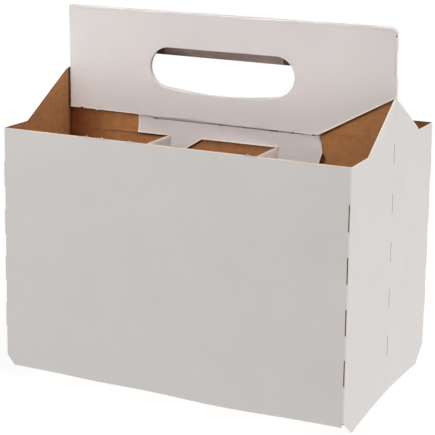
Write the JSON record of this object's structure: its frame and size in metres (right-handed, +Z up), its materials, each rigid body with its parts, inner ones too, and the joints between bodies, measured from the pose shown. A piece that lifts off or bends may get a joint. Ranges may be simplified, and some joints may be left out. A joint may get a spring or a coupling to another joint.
{
  "type": "six-pack bottle carrier",
  "caption": "Folded paperboard carrier with an open top, cells for bottles in two rows, gabled ends and an upright handle with a hand hole.",
  "frame": {"origin": "under the middle of the carrier, on the surface that its end panels stand on", "axes": "+X along the carrier towards the folded end, +Y from the front panel to the back panel, +Z up; the handle lies on the plane y = 0"},
  "size_m": [0.1919, 0.136, 0.1945],
  "materials": {
    "coated_board": "white clay-coated outside, soft satin"
  },
  "bodies": {
    "root": {"carrier": "coated_board"}
  },
  "joints": []
}
